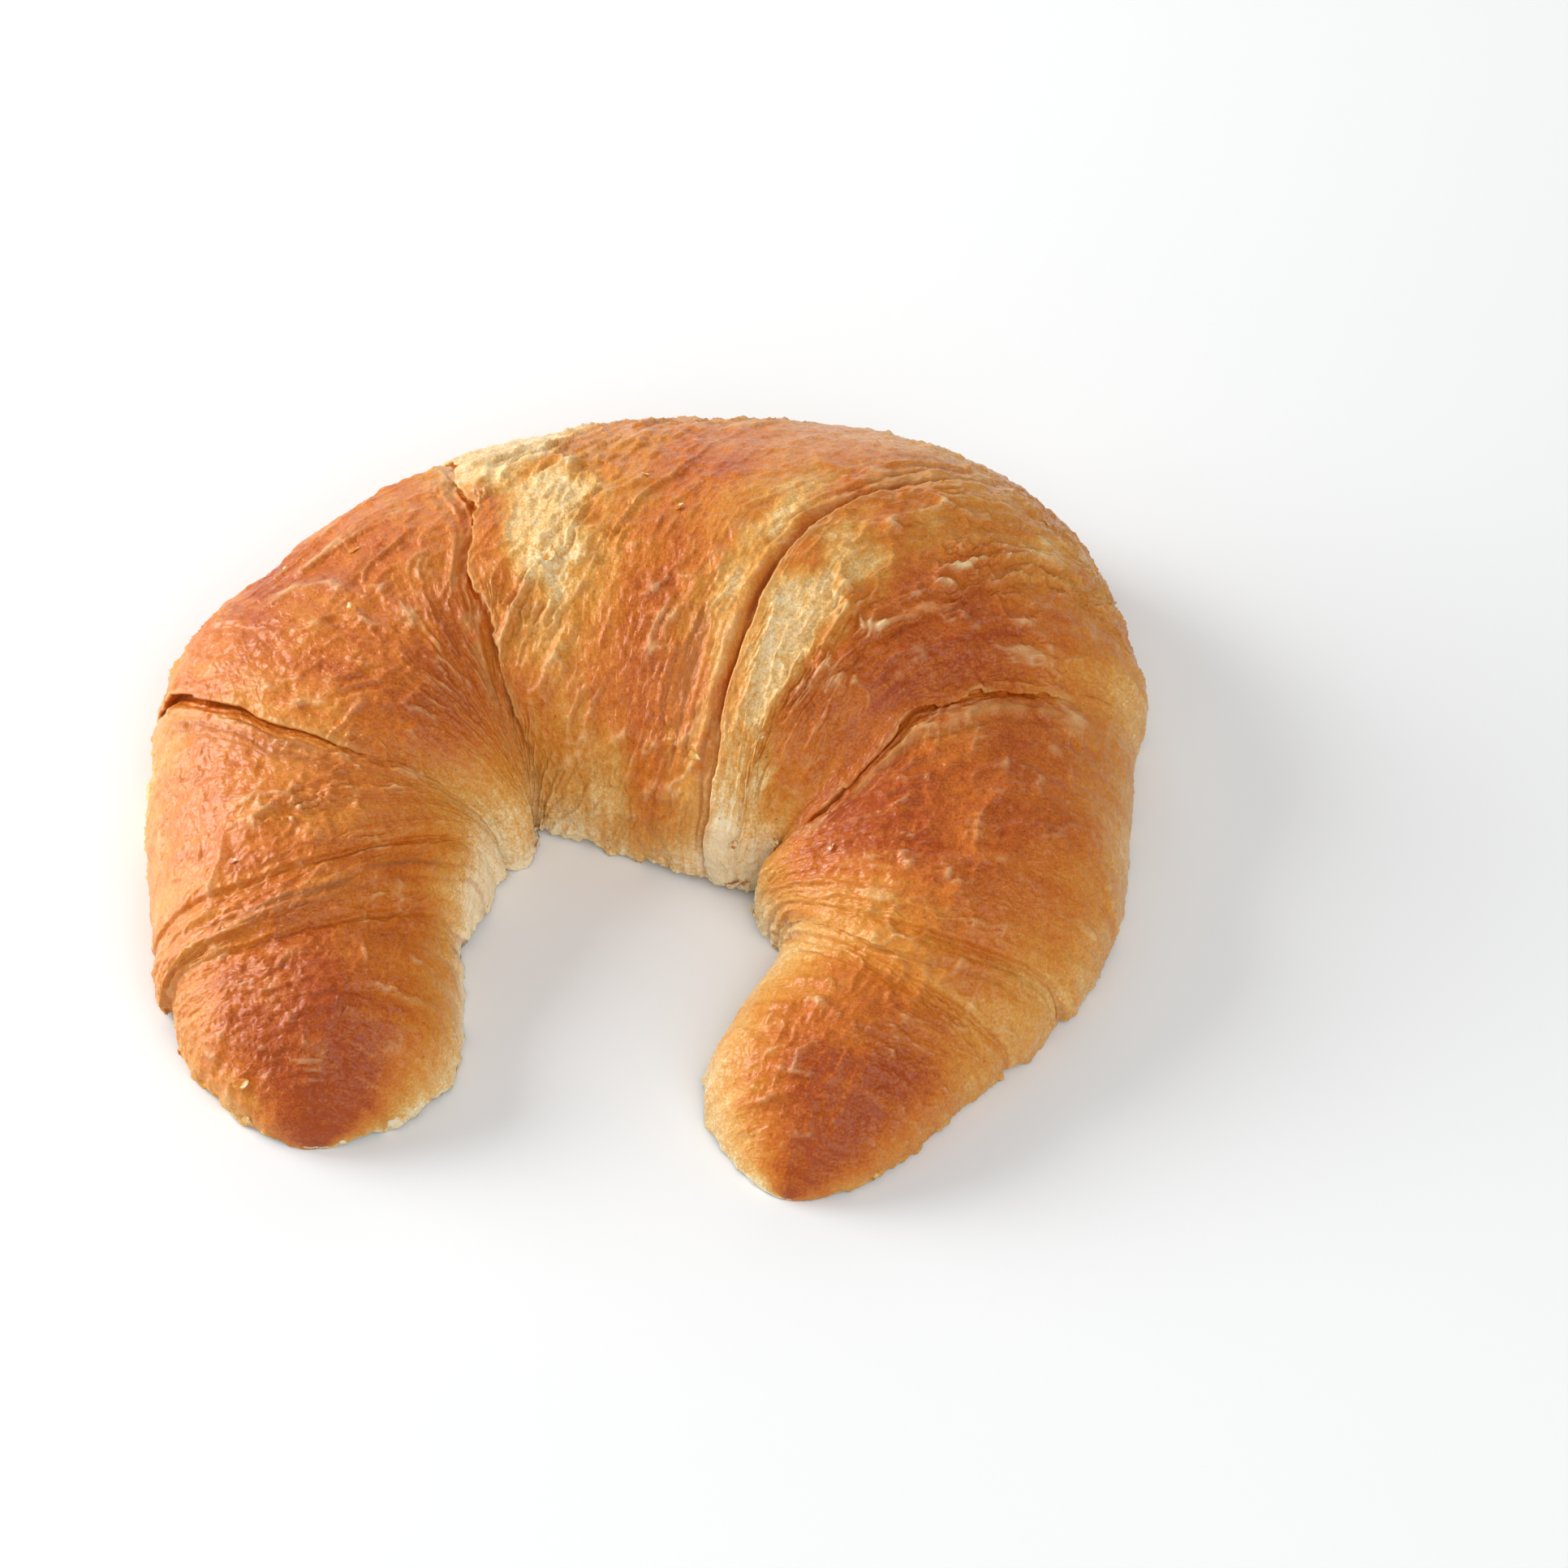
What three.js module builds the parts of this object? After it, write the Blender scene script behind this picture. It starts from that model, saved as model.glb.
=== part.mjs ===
// Top half of a baked crescent roll, split level with a bread knife and lying on its cut face.
// Millimetres, +Z up. The two horns point towards -Y and the back of the crescent towards +Y.
// The body is one baked piece of dough, so it is one closed mesh.
import * as THREE from "three";

// ---- driving dimensions, mm ----
const LEFT_SHIFT = 17; // puts the middle of the overall width on X = 0
const BACK_SHIFT = 5.6; // puts the middle of the overall depth on Y = 0
const UNDERCUT = THREE.MathUtils.degToRad(14); // how far the side wall curls in below its widest line
const CRUST_STEPS = 26; // facets over the crust, inner cut edge to outer cut edge
const FACE_STEPS = 10; // facets across the flat cut face
const CAP_STEPS = 7; // rows that round off the end of each horn
const TURN_STEPS = 5; // rows between one rib and the next

// One rib: where it meets the cut face inside the crescent and outside it, how high it
// stands, and how far its plan line bows towards the right-hand horn.
const rib = (inX, inY, outX, outY, height, bow = 0) => ({
  inner: new THREE.Vector2(inX, inY),
  outer: new THREE.Vector2(outX, outY),
  height,
  bow,
});

// From the left horn's tip, round the back, to the right horn's tip.
const RIBS = [
  rib(-48, -57, -65.5, -59, 8),
  rib(-42, -46, -72.5, -45, 13.5),
  rib(-41.5, -27, -75.5, -38, 15.5, -3),
  rib(-38, -17, -78, -31, 18.5, -3),
  rib(-37, -14.5, -80.5, 6, 22, -3),
  rib(-34, -12, -71, 24, 24, -2.5),
  rib(-32, -7.5, -45.5, 46.5, 26, -1.5),
  rib(-20, -11, -7, 52.5, 28.5, -5),
  rib(-9, -16, 33, 40.5, 31, -9),
  rib(-5, -16.5, 45.5, 12, 27, -6),
  rib(-0.5, -18, 45, 0, 22.5, -3),
  rib(-2, -22, 41, -25, 19.5, 0.5),
  rib(-1, -26, 34, -39, 16, 4),
  rib(1, -29.5, 27, -47, 13.5, 2.5),
  rib(-7.5, -48, 19.5, -54, 12.5),
  rib(-8.5, -63, 9, -68, 8),
];

// One lip where a turn of dough laps over its neighbour: the rib it lies on, and how far
// the crust stands out (+) or tucks in (-) just before the lip and just after it.
const lip = (at, before, after) => ({ at, before, after });
const LIPS = [
  lip(2, -0.3, 0.3),
  lip(3, -0.7, 0.6),
  lip(4, -1.1, 0.9),
  lip(6, -1.2, 0.9),
  lip(8, -1.1, 0.5),
  lip(10, 0.8, -1.1),
  lip(12, 0.6, -0.6),
  lip(13, 0.3, -0.4),
];
const TURN_SWELL = 0.9; // how far the middle of a turn stands out
const LIP_WIDTH = 0.04; // width of the step at a lip, as a share of one rib spacing

// ---- the crust ----
const last = RIBS.length - 1;
const hillsAndHollows = (key) =>
  new THREE.CatmullRomCurve3(
    RIBS.map((r) => new THREE.Vector3(...key(r))),
    false,
    "catmullrom",
    0.5,
  );
const innerEdge = hillsAndHollows((r) => [r.inner.x, r.inner.y, 0]);
const outerEdge = hillsAndHollows((r) => [r.outer.x, r.outer.y, 0]);
const heightAndBow = hillsAndHollows((r) => [r.height, r.bow, 0]);

// How far the crust stands out from the plain tube at one place along the crescent.
function swellAt(along) {
  const next = LIPS.findIndex((l) => along < l.at);
  const ahead = next < 0 ? { at: last, before: 0 } : LIPS[next];
  const behind = next === 0 ? { at: 0, after: 0 } : LIPS.at(next < 0 ? -1 : next - 1);
  const share = (along - behind.at) / (ahead.at - behind.at);
  const nearBehind = (1 - share) ** 3;
  const nearAhead = share ** 3;
  const middle = 1 - nearBehind - nearAhead;
  return behind.after * nearBehind + ahead.before * nearAhead + TURN_SWELL * middle;
}

// Narrowing of the last rib spacing at each end, which rounds the horn off.
function capAt(along) {
  const fromEnd = Math.min(along, last - along, 1);
  return Math.sqrt(Math.max(0, 1 - (1 - fromEnd) ** 2));
}

// Rows of facets along the crescent: close together at the two ends, a pair at each lip.
function rowPlaces() {
  const rows = [];
  for (let i = 0; i < CAP_STEPS; i++) {
    rows.push(1 - Math.cos((Math.PI / 2) * (i / CAP_STEPS)));
  }
  for (let r = 1; r < last - 1; r++) {
    const onLip = LIPS.some((l) => l.at === r);
    if (onLip) {
      rows.push(r - LIP_WIDTH / 2);
    }
    rows.push(onLip ? r + LIP_WIDTH / 2 : r);
    for (let i = 1; i < TURN_STEPS; i++) {
      rows.push(r + i / TURN_STEPS);
    }
  }
  for (let i = CAP_STEPS; i >= 0; i--) {
    rows.push(last - 1 + Math.cos((Math.PI / 2) * (i / CAP_STEPS)));
  }
  return rows;
}

// A point of the skin: along the crescent from horn to horn, and round the section from
// the inner cut edge over the crust to the outer one, then back across the cut face.
function skinPoint(along, round) {
  const t = along / last;
  const inner = innerEdge.getPoint(t);
  const outer = outerEdge.getPoint(t);
  const { x: height, y: bow } = heightAndBow.getPoint(t);
  const cap = capAt(along);
  const across = outer.clone().sub(inner);
  const halfWidth = across.length() / 2;
  across.normalize();
  const towardsRight = new THREE.Vector3(across.y, -across.x, 0);
  const swell = swellAt(along);
  const overCrust = Math.min(round / CRUST_STEPS, 1);
  const backAcross = Math.max(round - CRUST_STEPS, 0) / FACE_STEPS;
  const turn = THREE.MathUtils.lerp(-UNDERCUT, Math.PI + UNDERCUT, overCrust);
  const side = -Math.cos(turn) / Math.cos(UNDERCUT) - 2 * backAcross;
  const rise = (Math.sin(turn) + Math.sin(UNDERCUT)) / (1 + Math.sin(UNDERCUT));
  const arch = backAcross > 0 ? 0 : rise;
  return inner
    .lerp(outer, 0.5)
    .addScaledVector(across, side * (halfWidth + swell) * cap)
    .addScaledVector(towardsRight, bow * cap * Math.max(0, 1 - side * side))
    .add(new THREE.Vector3(LEFT_SHIFT, BACK_SHIFT, arch * (height + swell) * cap));
}

// A sphere with its poles at the two horn tips carries the skin.
function crescent() {
  const rows = rowPlaces();
  const around = CRUST_STEPS + FACE_STEPS;
  const skin = new THREE.SphereGeometry(1, around, rows.length - 1);
  const place = skin.getAttribute("position");
  for (let i = 0; i < place.count; i++) {
    const row = Math.floor(i / (around + 1));
    const column = i % (around + 1);
    const p = skinPoint(rows[row], column === around ? 0 : column);
    place.setXYZ(i, p.x, p.y, p.z);
  }
  skin.computeVertexNormals();
  return skin;
}

const bakedCrust = new THREE.MeshStandardMaterial({
  name: "baked_crust",
  color: "#c9793a",
  roughness: 0.42,
  metalness: 0,
});

const croissant = new THREE.Mesh(crescent(), bakedCrust);
croissant.name = "croissant_top_half";

const group = new THREE.Group();
group.name = "croissant";
group.add(croissant);

export default group;
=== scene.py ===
"""Top half of a butter croissant, split level with a bread knife and lying on its cut face."""

import math

import bmesh
import bpy
import numpy as np
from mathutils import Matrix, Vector


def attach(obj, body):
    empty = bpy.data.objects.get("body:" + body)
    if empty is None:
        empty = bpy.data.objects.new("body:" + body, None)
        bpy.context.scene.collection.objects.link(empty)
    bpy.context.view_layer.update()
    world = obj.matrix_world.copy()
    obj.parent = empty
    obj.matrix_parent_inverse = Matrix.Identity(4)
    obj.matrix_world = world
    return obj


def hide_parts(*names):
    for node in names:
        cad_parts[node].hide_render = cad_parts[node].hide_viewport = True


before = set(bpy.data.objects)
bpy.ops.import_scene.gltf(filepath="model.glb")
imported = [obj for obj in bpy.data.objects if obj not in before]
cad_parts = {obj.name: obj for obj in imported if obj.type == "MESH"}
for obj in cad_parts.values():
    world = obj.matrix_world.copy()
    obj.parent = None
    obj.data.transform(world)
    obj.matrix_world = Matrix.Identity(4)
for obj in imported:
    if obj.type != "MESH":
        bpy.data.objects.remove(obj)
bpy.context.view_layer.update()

bl_info = {
    "name": "Croissant top half",
    "version": (1, 0, 0),
    "blender": (4, 5, 0),
    "location": "View3D > Sidebar > Croissant",
    "description": "Crust, open crumb and loose flakes of a split butter croissant, with its stage",
    "category": "Add Mesh",
}

MM = 0.001
NODE = "croissant_top_half"

# -------------------------------- the roll's plan, mm
# One row for each rib, from the left horn's tip round the back to the right horn's tip:
# inner foot x and y, outer foot x and y, height, and how far the rib bows to the right.
RIBS = np.array(
    [
        (-48, -57, -65.5, -59, 8, 0),
        (-42, -46, -72.5, -45, 13.5, 0),
        (-41.5, -27, -75.5, -38, 15.5, -3),
        (-38, -17, -78, -31, 18.5, -3),
        (-37, -14.5, -80.5, 6, 22, -3),
        (-34, -12, -71, 24, 24, -2.5),
        (-32, -7.5, -45.5, 46.5, 26, -1.5),
        (-20, -11, -7, 52.5, 28.5, -5),
        (-9, -16, 33, 40.5, 31, -9),
        (-5, -16.5, 45.5, 12, 27, -6),
        (-0.5, -18, 45, 0, 22.5, -3),
        (-2, -22, 41, -25, 19.5, 0.5),
        (-1, -26, 34, -39, 16, 4),
        (1, -29.5, 27, -47, 13.5, 2.5),
        (-7.5, -48, 19.5, -54, 12.5, 0),
        (-8.5, -63, 9, -68, 8, 0),
    ]
)
LAST = len(RIBS) - 1
SHIFT = np.array([17.0, 5.6, 0.0])  # puts the middle of the overall width and depth on the origin
UNDERCUT = math.radians(14)  # how far the side wall curls in below its widest line
TURN_SWELL = 0.9  # how far the middle of a turn stands out
BEND_CENTRE = np.array([-22.0, -28.0])  # plan point that the crescent bends round
BEND_RADIUS = 38  # from that point to the middle of the roll, about
NO_SWAY = ((0, 0), (1, 0))


def lip(before, after, overhang, groove, valley, leafy, ragged, strength, sway=NO_SWAY, reach=0.5):
    """One edge of dough that laps over its neighbour. Lengths are in mm.

    before, after: how far the crust stands out on its two sides. overhang, groove: how far
    the edge juts over the groove, and the groove's depth. valley: how far the groove takes
    to rise again. leafy: how far from the groove the thin leaves of dough can be told apart.
    ragged: how torn, from 0 to about 1. strength, sway: pairs of (place over the crust from
    0 inside to 1 outside, value); an edge of little strength has baked onto its neighbour;
    the sway moves the edge along the roll, in rib spacings, and reach says how many rib
    spacings move with it.
    """
    return {
        "before": before, "after": after, "overhang": overhang, "groove": groove,
        "valley": valley, "leafy": leafy, "ragged": ragged,
        "strength": strength, "sway": sway, "reach": reach,
    }


# The lips, by the rib that each lies on.
LIPS = {
    2: lip(
        before=-0.3, after=0.3, overhang=0.1, groove=0.2, valley=0.9, leafy=4, ragged=0,
        strength=((0, 1), (0.3, 1), (0.6, 0.4), (1, 0.8)), reach=0.35,
    ),
    3: lip(
        before=-0.35, after=0.3, overhang=0.05, groove=0.2, valley=1.8, leafy=9, ragged=0,
        strength=((0, 0.3), (0.2, 0.5), (0.35, 1), (0.75, 1), (1, 0.8)), reach=0.35,
    ),
    4: lip(
        before=-0.45, after=0.45, overhang=0.5, groove=0.9, valley=1.8, leafy=9, ragged=0.5,
        strength=(
            (0, 0.1), (0.3, 0.2), (0.42, 0.5), (0.52, 0.8),
            (0.62, 1.1), (0.78, 1.25), (0.85, 0.9), (1, 0.6),
        ),
        sway=((0, 0), (0.2, -0.1), (0.42, -0.12), (0.65, -0.04), (0.8, 0), (1, 0)),
    ),
    6: lip(
        before=-0.5, after=0.3, overhang=0.25, groove=0.8, valley=3.0, leafy=5, ragged=1.1,
        strength=((0, 0.2), (0.15, 0.35), (0.3, 0.8), (0.45, 1.1), (0.8, 0.8), (1, 0.5)),
    ),
    8: lip(
        before=-0.8, after=0.45, overhang=0.35, groove=0.8, valley=1.3, leafy=14, ragged=0.3,
        strength=((0, 0.4), (0.15, 0.7), (0.4, 1.2), (0.6, 1.1), (0.72, 0.6), (1, 0.3)),
        sway=((0, 0), (0.5, 0), (0.6, 0.12), (0.7, 0.22), (1, 0.1)),
    ),
    10: lip(
        before=0.25, after=-0.35, overhang=0.4, groove=0.18, valley=1.2, leafy=7, ragged=0.9,
        strength=(
            (0, 0.2), (0.2, 0.3), (0.3, 0.8), (0.45, 1.1), (0.62, 0.9), (0.74, 0.3), (1, 0.2)
        ),
        sway=((0, 0.2), (0.15, 0.35), (0.29, 0.42), (0.37, 0.12), (0.45, -0.05), (1, 0)),
    ),
    12: lip(
        before=0.4, after=-0.4, overhang=0.06, groove=0.25, valley=1.6, leafy=6, ragged=0,
        strength=((0, 1), (0.3, 0.6), (0.6, 0.8), (1, 1.2)), reach=0.35,
    ),
    13: lip(
        before=0.3, after=-0.4, overhang=0.1, groove=0.4, valley=0.9, leafy=4, ragged=0,
        strength=((0, 1.2), (0.3, 0.8), (0.6, 0.8), (1, 0.5)), reach=0.35,
    ),
}

# How brown the top of the roll is at each rib, from 0 pale to 1 dark.
CREST_BROWN = (
    0.88, 0.86, 0.8, 0.74, 0.66, 0.84, 0.7, 0.58, 0.6, 0.76, 0.68, 0.78, 0.6, 0.54, 0.82, 0.8
)
# the paleness at the inner cut is partly less browned skin and partly painted light
NEAR_CUT_BROWN = 0.24  # and the same at the inner edge of the cut, all along
# How far wrinkles lean at each rib: mm along the roll for each mm over it.
WRINKLE_LEAN = (0, 0, 0, 0.2, 0.3, 0.45, -0.55, -0.4, -0.1, 0, 0, 0, 0, 0, 0, 0)
# The three sizes of wrinkle: mm from one to the next, mm that one is long, and its height.
WRINKLE_SIZES = ((3.2, 9, 1.15), (1.7, 4.5, 0.9), (0.85, 2, 0.55))

# The pieces of crust: name, first and last rib, how each end finishes, and the rows and
# columns of the grid. A lip is the free edge of a turn; a tucked end runs on under the next lip.
TURNS = (
    ("crust_left_horn", 0, 4, "tip", "tucked", 290, 300),
    ("crust_left_turn", 4, 6, "lip", "tucked", 190, 340),
    ("crust_centre_turn", 6, 8, "lip", "tucked", 240, 350),
    ("crust_right_turn", 8, 10, "lip", "lip", 190, 360),
    ("crust_right_horn", 10, 15, "tucked", "tip", 310, 290),
)
LIP_RADIUS = 0.28  # half the thickness of a lip's free edge
TUCK = 3.2  # how far a tucked end runs on under its neighbour
LEAF_HEIGHT = 0.34  # of the thin leaves of dough beside a groove
UNDER_HEIGHT = 3.0  # of a turn's hidden underside, which clears the deepest pits of the crumb
UNDER_COLUMNS = 12  # of a turn's hidden underside
FLAKES = 28  # loose flakes of skin
CUT_FLAKE = 3  # each third flake hangs on the torn edge at the cut

CRUMB_GRID = (400, 190, 8)  # rows, columns over the cut face, columns up each half of the back
CRUMB_HEIGHT = 2.8
# The three sizes of pit in the crumb: mm across, depth, and seed.
PITS = ((6.0, 2.2, 110), (3.0, 1.3, 120), (1.5, 0.6, 130))
PIT_STRETCH = 1.7  # how much longer a pit is along the roll than across it

# Where the skin is wrinkled: (rib, reach in ribs, place over the crust, reach, strength).
WRINKLED = (
    (6.5, 0.6, 0.5, 0.4, 1.0),
    (7.2, 0.4, 0.35, 0.25, 0.5),
    (7.0, 0.6, 0.72, 0.16, 0.8),
    (8.7, 0.5, 0.62, 0.3, 1.15),
    (8.4, 0.45, 0.3, 0.22, 1.0),
    (5.1, 0.5, 0.62, 0.16, 0.9),
    (5.55, 0.4, 0.5, 0.12, 0.8),
    (3.4, 0.3, 0.55, 0.16, 0.9),
    (10.8, 0.5, 0.32, 0.14, 0.7),
    (14.0, 0.7, 0.32, 0.2, 1.1),
    (9.7, 0.4, 0.28, 0.15, 0.8),
    (0.5, 0.5, 0.8, 0.2, 0.5),
)
# Where the outer skin has flaked off and shows the pale leaf below, in the same form.
BARE = (
    (6.2, 0.36, 0.72, 0.15, 1.0),
    (6.45, 0.32, 0.5, 0.13, 0.85),
    (7.74, 0.2, 0.47, 0.3, 0.5),
    (8.35, 0.36, 0.38, 0.2, 0.76),
    (8.6, 0.4, 0.74, 0.07, 0.45),
    (0.4, 0.25, 0.8, 0.08, 0.5),
    (4.9, 0.5, 0.86, 0.1, 0.5),
    (8.9, 0.4, 0.2, 0.1, 0.5),
)
# Where the oven browned the crust more, or less if the last value is negative.
SCORCHED = (
    (7.2, 0.28, 0.45, 0.3, 0.3),
    (7.4, 0.5, 0.78, 0.14, -0.16),
    (7.3, 0.3, 0.12, 0.14, 0.2),
    (11.1, 0.6, 0.42, 0.18, 0.16),
    (9.6, 0.9, 0.82, 0.14, -0.14),
    (3, 1.0, 0.2, 0.12, -0.12),
    (9.3, 0.5, 0.62, 0.2, 0.15),
    (14.4, 0.7, 0.64, 0.2, 0.3),
    (13.9, 0.8, 0.26, 0.13, -0.32),
    (9.8, 0.6, 0.06, 0.1, -0.22),
    (5.2, 0.9, 0.06, 0.12, -0.1),
    (0.5, 0.8, 0.5, 0.26, 0.2),
    (10.2, 0.6, 0.45, 0.2, 0.12),
    (11.2, 0.8, 0.8, 0.16, -0.2),
    (8.3, 0.4, 0.12, 0.12, -0.2),
    (2.2, 0.9, 0.12, 0.12, -0.14),
    (15, 0.7, 0.2, 0.2, -0.2),
)


# -------------------------------- numbers that look random
# A seed picks one pattern from the others, and gives the same pattern each time.
PRIMES = (374761393, 668265263, 2246822519)
SEED_STEP, MIXER, NOISE_SEED_STEP = 3266489917, 1274126177, 40503
ALL_BITS = 0xFFFFFFFF
TABLE_SIZE = 65536


def scramble(key, seed):
    """A fixed value from 0 to 1 for each whole-number key."""
    mixed = (key + seed * SEED_STEP) & ALL_BITS
    mixed = ((mixed ^ (mixed >> 13)) * MIXER) & ALL_BITS
    return (mixed ^ (mixed >> 16)) / ALL_BITS


TABLE = scramble(np.arange(TABLE_SIZE), 7).astype(np.float32) * 2 - 1


def noise(parts, seed):
    """Smooth noise from -1 to 1 over one to three lengths, with bumps one unit apart."""
    parts = np.broadcast_arrays(*parts)
    keys, eases = [], []
    for part, prime in zip(parts, PRIMES):
        part = part.astype(np.float32)
        cell = np.floor(part)
        rest = part - cell
        ease = rest * rest * rest * (rest * (rest * 6 - 15) + 10)
        key = cell.astype(np.int64) * prime
        keys.append((key, key + prime))
        eases.append((1 - ease, ease))
    total = 0
    for corner in np.ndindex(*(2,) * len(parts)):
        key, weight = seed * NOISE_SEED_STEP, 1
        for axis, side in enumerate(corner):
            key = key + keys[axis][side]
            weight = weight * eases[axis][side]
        total = total + weight * TABLE[(key ^ (key >> 15)) & (TABLE_SIZE - 1)]
    return total


def cloudy(parts, seed, octaves=3, gain=0.5):
    """Layers of noise, each twice as fine and weaker than the one before."""
    layers = [gain**n * noise([p * 2**n for p in parts], seed + n) for n in range(octaves)]
    return sum(layers) / sum(gain**n for n in range(octaves))


def ease_between(low, high, value):
    """0 below low, 1 above high, and smooth between."""
    share = np.clip((value - low) / (high - low), 0, 1)
    return share * share * (3 - 2 * share)


def hump(value, middle, reach):
    """1 at the middle and fading out by about twice the reach."""
    return np.exp(-(((value - middle) / reach) ** 2))


def pores(first, second, seed):
    """Distance to the nearest of scattered pore middles, and that pore's own size from 0 to 1."""
    nearest = np.full(first.shape, 9.0)  # farther than any pore
    size = np.zeros(first.shape)
    home = np.floor(first).astype(np.int64), np.floor(second).astype(np.int64)
    for step in np.ndindex(3, 3):
        cell = home[0] + step[0] - 1, home[1] + step[1] - 1
        key = cell[0] * PRIMES[0] + cell[1] * PRIMES[1]
        away = np.hypot(
            cell[0] + scramble(key, seed) - first, cell[1] + scramble(key, seed + 1) - second
        )
        closer = away < nearest
        nearest = np.where(closer, away, nearest)
        size = np.where(closer, scramble(key, seed + 2), size)
    return nearest, size


# -------------------------------- the plain tube
def along_ribs(values, along):
    """Values given at each rib, on a smooth curve through them, at places along the roll."""
    values = np.asarray(values, float)
    whole = np.clip(np.floor(along).astype(int), 0, LAST - 1)
    part = along - whole
    before, here = values[np.maximum(whole - 1, 0)], values[whole]
    ahead, beyond = values[whole + 1], values[np.minimum(whole + 2, LAST)]
    if values.ndim > 1:
        whole, part = whole[..., None], part[..., None]
    before = np.where(whole == 0, 2 * here - ahead, before)
    beyond = np.where(whole == LAST - 1, 2 * ahead - here, beyond)
    return 0.5 * (
        2 * here
        + (ahead - before) * part
        + (2 * before - 5 * here + 4 * ahead - beyond) * part**2
        + (3 * here - before - 3 * ahead + beyond) * part**3
    )


def cap_at(along):
    """Narrowing of the last rib spacing at each end, which rounds the horn off."""
    from_end = np.clip(np.minimum(along, LAST - along), 0, 1)
    return np.sqrt(np.clip(1 - (1 - from_end) ** 2, 0, 1))


def tube_points(along, over, cap):
    """Points of the plain tube, mm, at places along the roll and over the crust."""
    ribs = along_ribs(RIBS, along)
    cap = cap[..., None]
    across = ribs[..., 2:4] - ribs[..., 0:2]
    width = np.linalg.norm(across, axis=-1, keepdims=True)
    across = across / width
    to_right = np.stack([across[..., 1], -across[..., 0]], -1)
    turn = -UNDERCUT + (math.pi + 2 * UNDERCUT) * over
    side = (-np.cos(turn) / math.cos(UNDERCUT))[..., None]
    rise = (np.sin(turn) + math.sin(UNDERCUT)) / (1 + math.sin(UNDERCUT))
    bow = ribs[..., 5:6] * np.maximum(0, 1 - side**2)
    middle = (ribs[..., 0:2] + ribs[..., 2:4]) / 2
    plan = middle + (across * side * width / 2 + to_right * bow) * cap
    height = ribs[..., 4] * cap[..., 0] * rise
    return np.concatenate([plan, height[..., None]], -1) + SHIFT


def lengths_along(points):
    """Running length down the first axis, mm."""
    steps = np.linalg.norm(np.diff(points, axis=0), axis=-1)
    return np.concatenate([np.zeros((1,) + steps.shape[1:]), np.cumsum(steps, axis=0)])


def crest_scale():
    """Places along the whole roll, and the length run along its crest to each, mm."""
    ends = 1 - np.cos(np.linspace(0, math.pi / 2, 400))
    sample = np.concatenate([ends[:-1], np.linspace(1, LAST - 1, 5000), LAST - ends[::-1][1:]])
    crest = tube_points(sample, np.full(sample.shape, 0.5), cap_at(sample))
    return sample, lengths_along(crest)


SAMPLE, CREST = crest_scale()


def rows_between(first, last, count, fine=0.35):
    """Places of rows between two lengths on the crest, closer together near each lip."""
    length = np.linspace(first, last, 4000)
    gap = np.full(length.shape, 99.0)  # to the nearest lip
    for at in LIPS:
        gap = np.minimum(gap, np.abs(length - np.interp(at, SAMPLE, CREST)))
    # finest up to 0.8 mm from a lip, and plain from 5 mm on
    spacing = fine + (1 - fine) * ease_between(0.8, 5, gap)
    rows = np.concatenate([[0], np.cumsum(1 / spacing[1:])])
    length = np.interp(np.linspace(0, rows[-1], count), rows, length)
    return np.interp(length, CREST, SAMPLE), length


# Lengths, mm, round a lip's free edge and back under it, and how wide each row is that closes
# a piece's hidden end.
CURL_STEPS = np.array([0.12, 0.26, 0.42, 0.6, 0.8, 1.0, 1.2, 1.45, 1.9, 2.6, 3.6])
CLOSING = np.array([0.85, 0.6, 0.3, 0.0])


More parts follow.
